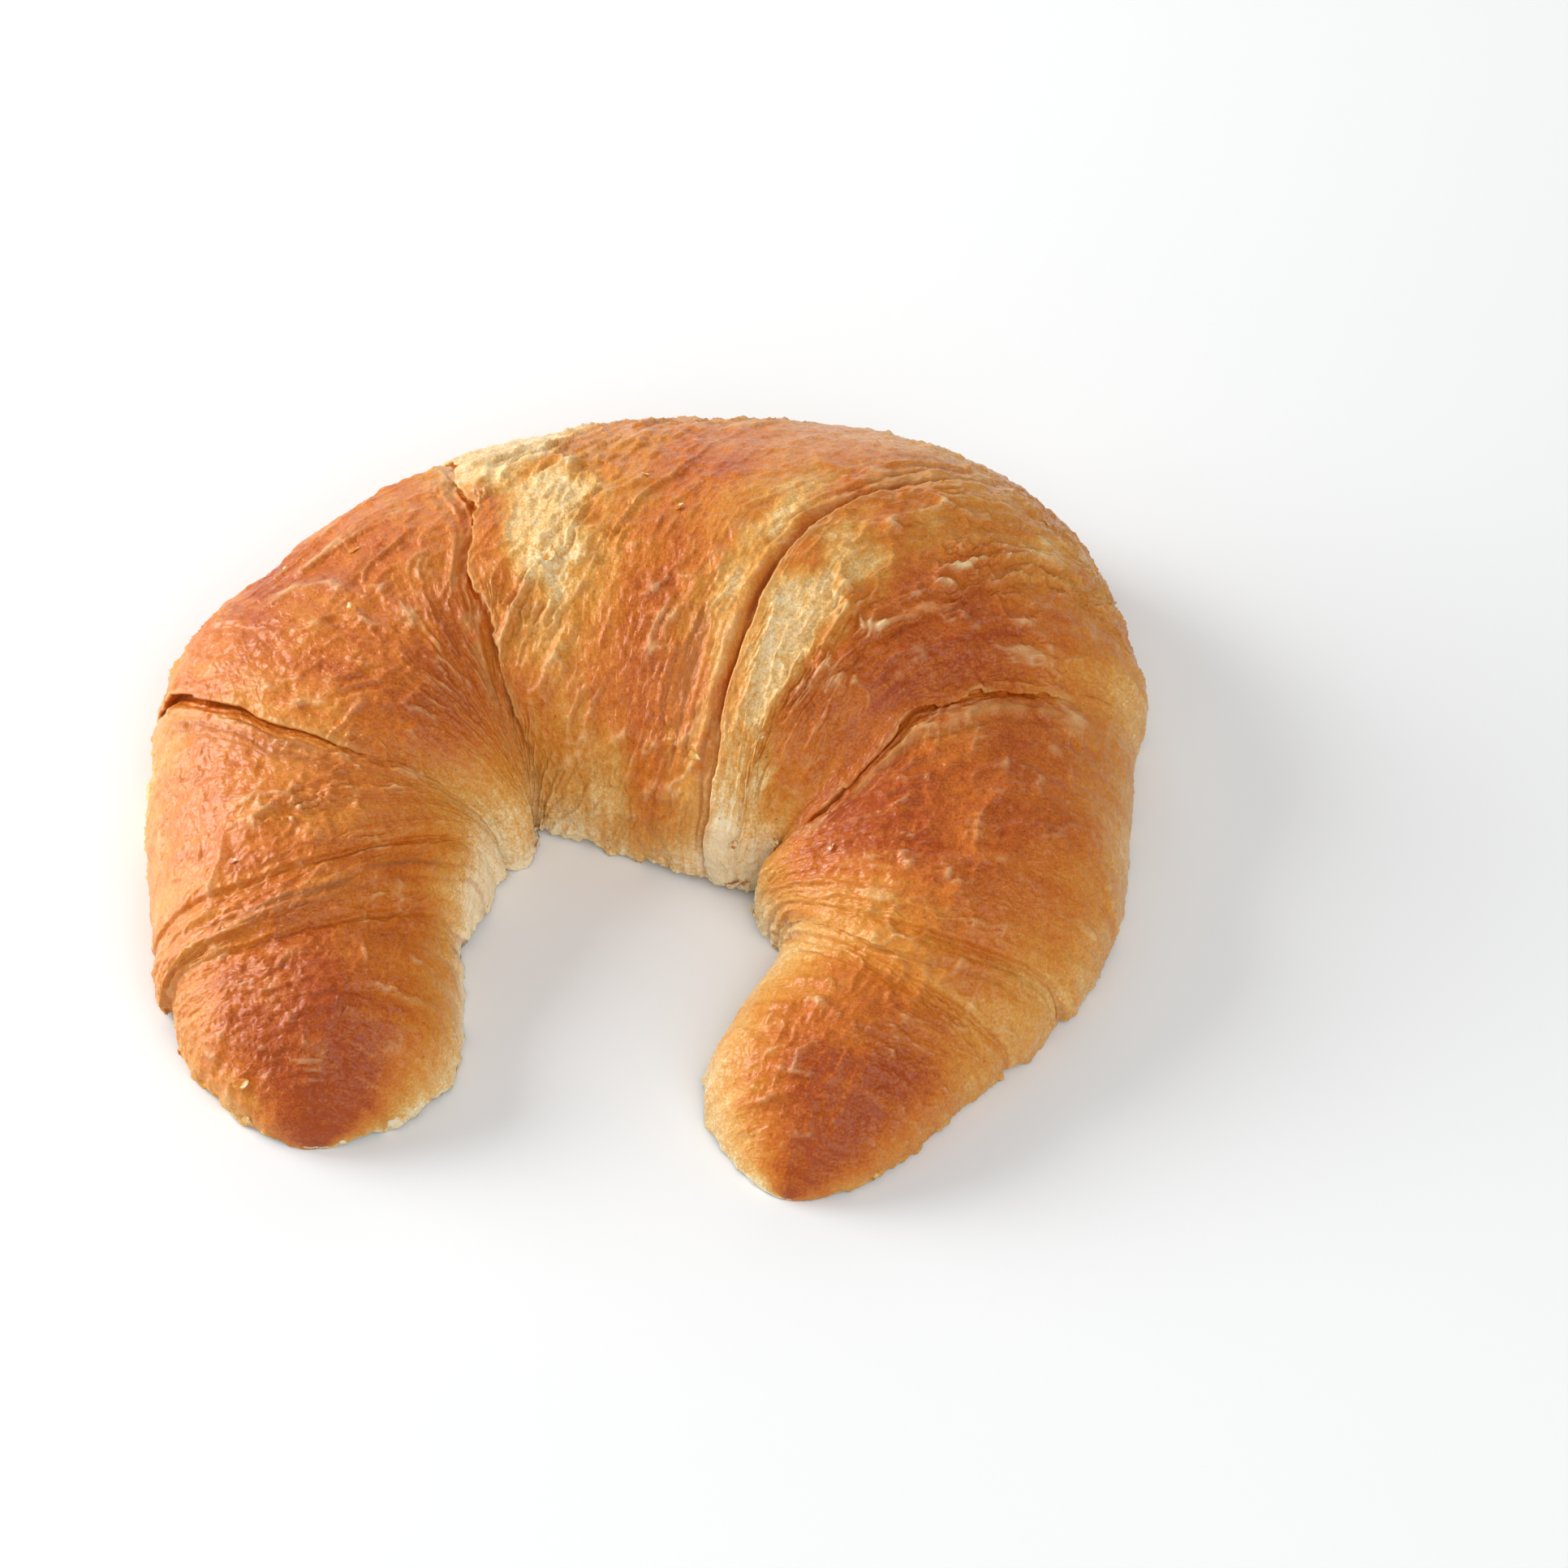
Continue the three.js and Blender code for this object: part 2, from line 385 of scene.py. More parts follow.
class Layout:
    """One piece of crust as a grid: rows along the roll, columns over it, and lengths in mm.

    place and along: rib spacings along the roll, before and after the lips sway. crest: length
    along the crest. curl: length round a lip, negative at the start of the piece. width: 1, or
    less in a hidden end. over: 0 inside to 1 outside. round: length over the crust from its
    crest. run: length along the roll. cap: narrowing at a horn. forward, out: unit directions.
    """

    def __init__(self, first, last, start, finish, rows, columns):
        at_start, at_finish = np.interp((first, last), SAMPLE, CREST)
        reach_back = TUCK if start == "tucked" else 0
        reach_on = TUCK if finish == "tucked" else 0
        place, crest = rows_between(at_start - reach_back, at_finish + reach_on, rows)
        curl = np.zeros(rows)
        width = np.ones(rows)
        if start != "tip":
            place, crest, curl, width = self.hidden_end(place, crest, curl, width, start, -1)
        if finish != "tip":
            place, crest, curl, width = self.hidden_end(place, crest, curl, width, finish, 1)
        self.count = len(place)
        over = np.linspace(0, 1, columns)
        spread = np.ones((1, columns))
        self.place, self.crest, self.curl, self.width = (
            values[:, None] * spread for values in (place, crest, curl, width)
        )
        self.over = np.ones((self.count, 1)) * over
        along = self.place.copy()
        for at, edge in LIPS.items():
            sway = np.interp(over, *zip(*edge["sway"]))
            sway = sway + (0.03 + 0.05 * edge["ragged"]) * cloudy((over * 9,), 40 + at, 2)
            along += sway * hump(self.place, at, edge["reach"])
        self.along = np.clip(along, 0, LAST)
        self.cap = cap_at(self.along)
        self.base = tube_points(self.along, self.over, self.cap)
        around = np.linalg.norm(np.diff(self.base, axis=1), axis=-1)
        around = np.concatenate([np.zeros((self.count, 1)), np.cumsum(around, axis=1)], 1)
        self.round = around - around[:, columns // 2 : columns // 2 + 1]
        self.run = lengths_along(self.base)
        self.forward, self.out = self.directions()

    @staticmethod
    def hidden_end(place, crest, curl, width, kind, side):
        """Adds the rows that are out of sight: round the lip or none, then closing to a point."""
        bend = CURL_STEPS if kind == "lip" else CURL_STEPS[:0]
        extra = len(bend) + len(CLOSING)
        end = -1 if side > 0 else 0
        last_bend = bend[-1] if len(bend) else 0
        added = (
            np.full(extra, place[end]),
            np.full(extra, crest[end]),
            side * np.concatenate([bend, np.full(len(CLOSING), last_bend)]),
            np.concatenate([np.ones(len(bend)), CLOSING]),
        )
        pairs = zip((place, crest, curl, width), added)
        return [
            np.concatenate([old, new] if side > 0 else [new[::-1], old]) for old, new in pairs
        ]

    def directions(self):
        """Unit directions along the roll and out of the crust, carried on over the hidden rows."""
        moving = np.flatnonzero(np.abs(np.diff(self.place[:, 0])) > 0)
        low, high = moving[0], moving[-1] + 2
        part = self.base[low:high]
        down = np.gradient(part, axis=0)
        out = np.cross(down, np.gradient(part, axis=1))
        pads = ((low, self.count - high), (0, 0), (0, 0))
        lengths = (np.linalg.norm(v, axis=-1, keepdims=True) for v in (down, out))
        unit = [v / np.maximum(length, 1e-9) for v, length in zip((down, out), lengths)]
        return [np.pad(v, pads, mode="edge") for v in unit]

    def past(self, at):
        """Length along the roll past a lip, mm, negative before it."""
        row = int(np.abs(self.place[:, 0] - at).argmin())
        return self.run - self.run[row]

    def strength(self, at):
        """Strength of a lip over the crust, fading at the horns."""
        return np.interp(self.over[0], *zip(*LIPS[at]["strength"])) * self.cap

    def spot(self, rib, rib_reach, over, over_reach):
        """A soft spot of the crust, 1 at its middle."""
        return hump(self.along, rib, rib_reach) * hump(self.over, over, over_reach)

    def patches(self, spots):
        """Soft spots of the crust, the strongest at each point."""
        whole = np.zeros(self.over.shape)
        for *where, strength in spots:
            whole = np.maximum(whole, strength * self.spot(*where))
        return whole


def turn_level(grid, first, last):
    """How far one stretch between two lips stands out, mm."""
    share = np.clip((grid.place - first) / (last - first), 0, 1)
    start = LIPS[first]["after"] * grid.strength(first) if first in LIPS else 0
    finish = LIPS[last]["before"] * grid.strength(last) if last in LIPS else 0
    near_start, near_finish = (1 - share) ** 3, share**3
    return start * near_start + finish * near_finish + TURN_SWELL * (1 - near_start - near_finish)


def leaves_of_dough(grid, low, at):
    """Thin parallel leaves beside a groove, from about -1 in the slits to 1 on the ridges."""
    waver = 0.8 * noise((grid.round / 9, low / 5), 90 + at)
    broad = noise((low / 1.5 + waver, grid.round / 28), 70 + at)
    narrow = noise((low / 0.55 + waver * 2, grid.round / 11), 80 + at)
    return broad * 0.5 + narrow * 0.6


def lapped_turns(grid, first, last, start, finish):
    """Height and forward push of a piece and of its lips, mm, and what the colours need of them."""
    inside = [at for at in LIPS if first < at < last]
    stops = [first] + inside + [last]
    height = turn_level(grid, stops[0], stops[1])
    push, shade, rim, slits = (np.zeros(height.shape) for _ in range(4))
    for at, ahead in zip(stops[1:-1], stops[2:]):
        share = ease_between(-0.4, 0.4, grid.past(at))
        height = height * (1 - share) + turn_level(grid, at, ahead) * share
    for at in [at for at in stops if at in LIPS]:
        edge, strength = LIPS[at], grid.strength(at)
        low = grid.past(at) * (-1 if edge["after"] > edge["before"] else 1)
        if at in inside:
            gully = np.where(low > 0, np.exp(-low / edge["valley"]), np.exp(low / 0.25))
            height -= edge["groove"] * strength * gully
            side = np.sign(edge["before"] - edge["after"])
            push += side * edge["overhang"] * strength * hump(low, -0.1, 0.35)
        elif (at == first and start == "tucked") or (at == last and finish == "tucked"):
            height -= edge["groove"] * strength * np.exp(-np.maximum(low, 0) / edge["valley"])
            # the skin dives under its neighbour, and rolls up into a ridge before it
            height -= 1.2 * ease_between(-0.9, -2.6, low) - 0.3 * ease_between(0, -0.9, low)
            rolled = hump(low, 2.8, 0.8) * ease_between(0.4, 0.8, strength)
            height += edge["overhang"] * rolled
            patchy = ease_between(-0.6, 0.4, noise((grid.round / 2.2,), 93 + at))
            rim = np.maximum(rim, rolled * patchy)
        else:
            side = -1 if at == first else 1
            free = ease_between(0.3, 0.65, strength)
            bend = np.maximum(side * grid.curl, 0)
            around = np.minimum(bend / LIP_RADIUS, math.pi)
            under = np.maximum(bend - math.pi * LIP_RADIUS, 0)
            tear = 0.45 * cloudy((grid.round / 2.4,), 95 + at, 5, 0.7)
            tear -= 0.7 * ease_between(0.4, 0.7, noise((grid.round / 3.3,), 97 + at))
            jut = edge["overhang"] * strength * (1 + 0.35 * noise((grid.round / 8,), 98 + at))
            jut += edge["ragged"] * tear * grid.cap
            near = np.exp(-np.abs(low) / 1.1)
            steep = 0.3 + 0.6 * min(edge["groove"], 1)  # how steeply the skin dives below the edge
            push += side * (jut * near + LIP_RADIUS * np.sin(around) - under * (1 - steep / 2))
            height -= LIP_RADIUS * (1 - np.cos(around)) + steep * under + 0.7 * (1 - free) * near
            # painted shade on the skin that curls under a free lip, where no light reaches
            shade = np.maximum(shade, ease_between(0.5, 1.2, bend))
            height += 0.4 * free * near * cloudy((grid.round / 6,), 99 + at, 3)
            pale = ease_between(-0.5, 0.3, noise((grid.round / 4,), 94 + at))
            rim = np.maximum(rim, hump(low, 0, 0.4) * pale * free)
            continue
        # painted shade down the groove beside a lip and on a tucked end, deepest at the lip
        depth = strength * edge["groove"]
        shaded = depth * np.exp(-np.maximum(low, 0) / edge["valley"]) * (low > -0.15)
        shade = np.maximum(shade, shaded)
        leaves = leaves_of_dough(grid, low, at)
        fade = np.clip(strength, 0, 1) * ease_between(0, 1.2, low)
        fade = fade * (1 - ease_between(3.5, edge["leafy"], low))
        height += LEAF_HEIGHT * fade * leaves
        # painted shade in the slits between the leaves
        slits = np.maximum(slits, fade * ease_between(0.3, 0.7, -leaves))
    return height, push, shade, rim, slits


def wrinkles(grid):
    """Ridges of puckered skin over the roll: height in mm, how sharp, and how wrinkled it is. The
    sharp share paints the crests pale, as dry skin and partly as a painted highlight.
    """
    where = np.maximum(0.4, grid.patches(WRINKLED))
    patchy = ease_between(-0.55, 0.3, cloudy((grid.crest / 14, grid.round / 12), 11, 2))
    where = where * (0.35 + 0.65 * patchy) * ease_between(0.4, 0.9, grid.cap)
    leaned = grid.crest + along_ribs(WRINKLE_LEAN, grid.along) * grid.round
    bend = 2.8 * cloudy((leaned / 9, grid.round / 9), 21, 4, 0.6)
    ridges = []
    for number, (across, down, _) in enumerate(WRINKLE_SIZES):
        wave = noise(((leaned + bend) / across, grid.round / down), 31 + number)
        gaps = noise((leaned / across / 1.6, grid.round / down / 0.8), 36 + number)
        line = np.clip(1 - np.abs(wave) * 1.9, 0, 1)
        ridges.append(line**2.1 * ease_between(-0.7, 0.0, gaps))
    relief = sum(size[2] * ridge for size, ridge in zip(WRINKLE_SIZES, ridges))
    height = where * (relief - 0.65)
    crisp = 0.95 + 0.5 * noise((grid.crest / 0.9, grid.round / 1.6), 46)
    keen = ease_between(0.5, 1.3, ridges[0] * 0.6 + ridges[1] * 0.7 + ridges[2] * 0.5)
    return height, where * crisp * keen, where


def bare_patches(grid):
    """Where the outer skin has worn or flaked away: how pale it is, and how far it has torn."""
    ragged = cloudy((grid.crest / 5, grid.round / 6), 55, 4, 0.6)
    worn = grid.patches(BARE) + 0.3 * ragged
    return ease_between(0.25, 0.65, worn), ease_between(0.55, 0.62, worn)


def browning(grid, wrinkled, bare):
    """How brown the crust is, 0 pale to 1 dark: dark on top, pale near the cut and on ridges. Near
    the inner cut the paleness is partly less browned skin and partly painted light, which brightens
    the undercut inner wall that lies in shade.
    """
    top = along_ribs(CREST_BROWN, grid.along)
    # pale over the first third from the inner cut, and half as brown at the outer one
    inner_fade = ease_between(0, 0.36, grid.over - 0.03 * cloudy((grid.crest / 6,), 61, 2))
    outer_fade = 1 - 0.5 * ease_between(0.62, 1.0, grid.over)
    brown = NEAR_CUT_BROWN + (top - NEAR_CUT_BROWN) * inner_fade * outer_fade
    x, y, z = np.moveaxis(grid.base, -1, 0)
    brown += 0.14 * noise((x / 13, y / 13, z / 13), 62) + 0.1 * noise((x / 5, y / 5, z / 5), 63)
    brown += 0.07 * noise((grid.crest / 1.3, grid.round / 9), 64)
    for *where, more in SCORCHED:
        brown += more * grid.spot(*where)
    # paler still right at both cut edges; at the inner edge this is partly painted light on the
    # shaded, undercut wall
    at_cut = 0.3 * np.exp(-grid.over / 0.06) + 0.14 * np.exp((grid.over - 1) / 0.04)
    brown -= wrinkled * 0.12 + at_cut
    return np.clip(brown * (1 - 0.7 * bare), 0, 1)


# -------------------------------- meshes
def ball_grid(name, around, along):
    """A closed ball of skin from one flat grid, and the row and column of each of its points."""
    shape = bmesh.new()
    bmesh.ops.create_grid(shape, x_segments=around, y_segments=along, size=1)
    shape.verts.ensure_lookup_table()
    by_row = [shape.verts[n : n + around + 1] for n in range(0, len(shape.verts), around + 1)]
    join = {row[0]: row[-1] for row in by_row[1:-1]}
    for pole in (by_row[0], by_row[-1]):
        join.update({vert: pole[-1] for vert in pole[:-1]})
    bmesh.ops.weld_verts(shape, targetmap=join)
    mesh = bpy.data.meshes.new(name)
    shape.to_mesh(mesh)
    shape.free()
    places = np.empty(len(mesh.vertices) * 3)
    mesh.vertices.foreach_get("co", places)
    places = places.reshape(-1, 3)
    row = np.rint((places[:, 1] + 1) / 2 * along).astype(int)
    column = np.rint((1 - places[:, 0]) / 2 * around).astype(int)
    return mesh, row, column


def settle(mesh, points):
    """Moves the mesh's points to places given in mm."""
    mesh.vertices.foreach_set("co", (points * MM).ravel())
    mesh.polygons.foreach_set("use_smooth", np.ones(len(mesh.polygons), bool))
    mesh.update()


def note(mesh, name, values):
    """Stores one number for each point, for the materials to read."""
    layer = mesh.attributes.new(name, "FLOAT", "POINT")
    layer.data.foreach_set("value", values.astype(np.float32))


def note_place(mesh, name, first, second):
    """Stores two lengths for each point, for patterns that follow the crust."""
    layer = mesh.attributes.new(name, "FLOAT_VECTOR", "POINT")
    three = np.stack([first, second, np.zeros(first.shape)], -1)
    layer.data.foreach_set("vector", three.astype(np.float32).ravel())


def add_piece(mesh, material):
    """Puts a finished mesh in the scene, riding on the roll and standing for its solid."""
    piece = bpy.data.objects.new(mesh.name, mesh)
    bpy.context.scene.collection.objects.link(piece)
    mesh.materials.append(material)
    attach(piece, "root")
    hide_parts(NODE)
    return piece


def torn_edge(grid, points):
    """Frays the crust's lower edge, where the knife dragged through it."""
    inside = grid.over < 0.5
    # the tears differ from side to side and from piece to piece
    length = grid.run + np.where(inside, 0.0, 400.0) + 13.7 * grid.place[0, 0]
    tear = 0.6 * cloudy((length / 2.2,), 81, 4, 0.65)
    chip = 1.1 * ease_between(0.25, 0.8, noise((length / 3.1,), 85))
    tear = tear * np.where(inside, 1.5, 1.0)
    fray = 0.8 * cloudy((length / 1.6, points[..., 2] / 1.2), 86, 4, 0.65)
    level = np.maximum(points[..., 2], 0)
    lowest = np.exp(-level / 1.3)
    points[..., 2] = level + np.clip(0.5 + tear + chip, 0.05, 2.2) * lowest * grid.cap
    flare = np.where(inside, 1.3, 0.2) * np.exp(-level / 3)
    points += grid.out * ((fray * lowest + flare) * grid.cap)[..., None] * (1, 1, 0)


def make_turn(name, first, last, start, finish, rows, columns, material):
    """One piece of the browned outside, with its relief, ragged lower edge and hidden ends."""
    grid = Layout(first, last, start, finish, rows, columns + 1)
    height, push, shade, rim, slits = lapped_turns(grid, first, last, start, finish)
    folds, sharp, where = wrinkles(grid)
    bare, torn = bare_patches(grid)
    x, y, z = np.moveaxis(grid.base, -1, 0)
    # soft swells, a pebbled skin, and a crumbly leaf where the skin is gone
    soft = 0.55 * noise((x / 17, y / 17, z / 17), 51) + 0.3 * noise((x / 8, y / 8, z / 8), 52)
    pebbles = 0.34 * cloudy((x / 2.2, y / 2.2, z / 2.2), 53, 3, 0.8)
    crumbly = bare * 0.16 * cloudy((x / 1.0, y / 1.0, z / 1.0), 57, 2, 0.7) - 0.3 * torn
    height = height + (folds * (1 - 0.25 * torn) + soft + pebbles + crumbly) * grid.cap
    points = grid.base + grid.out * height[..., None]
    points = points + grid.forward * (push * grid.cap)[..., None]
    torn_edge(grid, points)
    # the hidden ends close onto a line along the middle
    heart = (points[:, :1] + points[:, -1:]) / 2
    heart[..., 2] = 0.35 * points[..., 2].max(axis=1, keepdims=True)
    points = heart + (points - heart) * grid.width[..., None]
    mesh, row, column = ball_grid(name, columns + UNDER_COLUMNS, grid.count - 1)
    over = column <= columns
    back = (column - columns) / UNDER_COLUMNS
    top_column = np.where(over, column, 0)
    inner, outer = points[row, 0], points[row, columns]
    under = outer + (inner - outer) * back[:, None]
    under[:, 2] = np.maximum(np.minimum(UNDER_HEIGHT, heart[row, 0, 2]), under[:, 2] + 0.3)
    settle(mesh, np.where(over[:, None], points[row, top_column], under))
    brown = browning(grid, where, bare)
    # sharp paints pale crests, partly a painted highlight; shade and slits are painted shade
    paint = {"brown": brown, "shade": shade, "rim": rim, "sharp": sharp, "slits": slits}
    for layer, values in paint.items():
        note(mesh, layer, np.where(over, values[row, top_column], 0))
    note_place(mesh, "grain", grid.crest[row, top_column], grid.round[row, top_column])
    crust = add_piece(mesh, material)
    return grid, points, brown


def make_crumb(rows, face_columns, side_columns, material):
    """The open crumb that the knife laid bare: a slab just inside the crust, pitted from below."""
    place, _ = rows_between(0, CREST[-1], rows + 1, fine=1)
    end_gap = 0.12  # rib spacings that the crumb stops short of each horn's tip
    both = np.ones((1, 2))
    along = (end_gap + place * (LAST - 2 * end_gap) / LAST)[:, None] * both
    sides = np.ones((rows + 1, 1)) * np.array([0.0, 1.0])
    feet = tube_points(along, sides, cap_at(place)[:, None] * both)
    mesh, row, column = ball_grid("crumb", face_columns + 2 * side_columns, rows)
    inner, outer = feet[row, 0], feet[row, 1]
    across = outer - inner
    width = np.maximum(np.linalg.norm(across, axis=-1, keepdims=True), 1e-6)
    near_lips = sum(hump(place, at, 0.3) for at in LIPS)[row][:, None]
    inset = np.minimum(0.15 + 0.9 * near_lips, width * 0.2)
    inner, outer = inner + across / width * inset, outer - across / width * inset
    above = column <= 2 * side_columns
    across_face = (column - 2 * side_columns) / face_columns
    share = np.where(above, column / (2 * side_columns), 1 - across_face)
    placed = inner + (outer - inner) * share[:, None]
    from_bend = placed[:, :2] - SHIFT[:2] - BEND_CENTRE
    radius = np.hypot(from_bend[:, 0], from_bend[:, 1])
    arc = np.arctan2(from_bend[:, 1], from_bend[:, 0]) * BEND_RADIUS
    wobble = cloudy((arc / 4, radius / 4), 100, 2)
    pits = np.zeros(len(row))
    for size, depth, seed in PITS:
        lengthwise = arc / size / PIT_STRETCH + wobble * 0.35
        away, bigness = pores(lengthwise, radius / size + wobble * 0.3, seed)
        hollow = 1 - ease_between(0.12, 0.2 + 0.34 * bigness, away)
        pits = np.maximum(pits, depth * bigness * hollow)
    rough = 0.12 * (1 + cloudy((arc / 0.9, radius / 0.7), 140, 2))
    rim_fade = ease_between(0, 0.04, np.minimum(share, 1 - share))
    top = CRUMB_HEIGHT * cap_at(place)[row] ** 2
    face = (pits * rim_fade + rough) * np.minimum(1, top)
    placed[:, 2] = np.where(above, top * np.sin(math.pi * share) ** 0.4, face)
    settle(mesh, placed)
    # the pit depth, which the crumb material turns into painted shade
    note(mesh, "pit", np.where(above, 0, pits))
    add_piece(mesh, material)


def nearest_point(turns, rib, over):
    """The crust at a place on the roll: its point, its own directions, and how brown it is."""
    for grid, points, brown in turns:
        if grid.place[0, 0] <= rib <= grid.place[-1, 0]:
            row = int(np.abs(grid.place[:, 0] - rib).argmin())
            column = int(round(over * (grid.over.shape[1] - 1)))
            return [values[row, column] for values in (points, grid.forward, grid.out, brown)]
    raise ValueError(f"no crust at rib {rib}")


def make_flakes(turns, material):
    """Small curled flakes of dry skin, each stuck by one end and lifting at the other."""
    shape = bmesh.new()
    browns = []
    spots = [(rib, reach, over, wide) for rib, reach, over, wide, _ in WRINKLED + BARE]
    for number in range(FLAKES):
        chance = [scramble(number * 16 + part, 200) for part in range(6)]
        rib, reach, over, wide = spots[number % len(spots)]
        rib = min(max(rib + (chance[0] - 0.5) * 2 * reach, 0.3), LAST - 0.3)
        over = min(max(over + (chance[1] - 0.5) * 2 * wide, 0.03), 0.97)
        if number % CUT_FLAKE == 0:
            rib, over = 0.6 + 13.8 * chance[0], 0.02 if chance[1] < 0.7 else 0.98
        where, forward, out, brown = nearest_point(turns, rib, over)
        turn = math.tau * chance[2]
        side = np.cross(out, forward)
        along = forward * math.cos(turn) + side * math.sin(turn)
        across = np.cross(out, along)
        long = 0.5 + 0.9 * chance[3] ** 2
        lift = 0.12 + 0.22 * chance[4]
        made = bmesh.ops.create_uvsphere(shape, u_segments=12, v_segments=6, radius=1)["verts"]
        for vert in made:
            x, y, z = vert.co
            angle = math.atan2(y, x)
            ragged = 1 + 0.16 * math.sin(angle * 3 + number)
            ragged += 0.1 * math.sin(angle * 5 + 2 * number)
            up = z * 0.07 + lift * ((x + 1) / 2) ** 1.6 + 0.12 * y * y + 0.02
            point = where + (along * x + across * y * 0.6) * long * ragged + out * up
            point[2] = max(point[2], 0.05 + 0.05 * (z + 1))
            vert.co = point * MM
        browns += [brown * (0.8 + 0.4 * chance[5])] * len(made)
    mesh = bpy.data.meshes.new("loose_flakes")
    shape.to_mesh(mesh)
    shape.free()
    mesh.polygons.foreach_set("use_smooth", np.ones(len(mesh.polygons), bool))
    note(mesh, "brown", np.array(browns))
    add_piece(mesh, material)


# -------------------------------- materials
# Scales of patterns in the piece's own space: 1 over the size of one feature in metres.
MOTTLE_SCALE = 900.0  # mottles of the crust and grit of the crumb, about 1.1 mm
SKIN_SCALE = 1700.0  # pimples of the skin, about 0.6 mm
GRAIN_SCALE = 3200.0  # browned grains, about 0.3 mm, drawn coarser than real so that they show
SPECK_SCALE = 380.0  # seared specks, about 2.6 mm apart
# Scales of patterns that follow the crust: 1 over the size in mm, and the stretch over the roll.
FIBRE_SCALE, FIBRE_STRETCH = 1.1, (1.0, 0.16, 1.0)  # fibres 0.9 mm apart and six times as long
CREASE_SCALE, CREASE_STRETCH = 0.9, (1.0, 0.55, 1.0)  # creases 1.1 mm apart

# Browning of the crust, pale to dark, and its colour on a lip's rim, painted shade in a groove and
# in the slits between leaves of dough, and seared specks.
BROWNING = (
    (0.0, "#FCE9C2"), (0.13, "#F3CF92"), (0.26, "#E5AE5E"),
    (0.46, "#D98E34"), (0.7, "#CE6E19"), (1.0, "#A83F02"),
)
RIM_HEX, GROOVE_SHADE_HEX, SLIT_SHADE_HEX, SPECK_HEX = "#D9A25C", "#C8661A", "#B0601E", "#6E2A08"
GLAZE_TINT_HEX = "#FFDD9E"
# the crumb's colours for grit and shallow pits, and deep pits painted darker as painted shade
GRIT_AND_PIT_SHADE_HEX, DEEP_PIT_SHADE_HEX = "#EFE6C9", "#E2CF9C"
FLOOR_HEX, TENT_HEX = "#F4F5F5", "#FFFFFF"


def linear(text):
    """An sRGB hex colour as linear light, opaque."""
    parts = [int(text[i : i + 2], 16) / 255 for i in (1, 3, 5)]
    light = (c / 12.92 if c <= 0.04045 else ((c + 0.055) / 1.055) ** 2.4 for c in parts)
    return (*light, 1.0)


def add_node(tree, kind, settings=None, **inputs):
    """Adds a node. Settings are its own properties; an input is a value or another's socket.

    An input is given by its name with _ for each space, or by its number, as i0, i1 and so on.
    """
    node = tree.nodes.new(kind)
    for name, value in (settings or {}).items():
        setattr(node, name, value)
    for name, value in inputs.items():
        numbered = name[0] == "i" and name[1:].isdigit()
        socket = node.inputs[int(name[1:]) if numbered else name.replace("_", " ")]
        if isinstance(value, bpy.types.NodeSocket):
            tree.links.new(value, socket)
        else:
            socket.default_value = value
    return node


def set_ramp(node, stops):
    """Sets a colour ramp's stops, given as (place, hex colour)."""
    ramp = node.color_ramp
    while len(ramp.elements) < len(stops):
        ramp.elements.new(0.5)
    for element, (place, colour) in zip(ramp.elements, stops):
        element.position = place
        element.color = linear(colour)


def new_material(name):
    """An empty node material and its tree."""
    material = bpy.data.materials.new(name)
    material.use_nodes = True
    tree = material.node_tree
    tree.nodes.clear()
    return material, tree


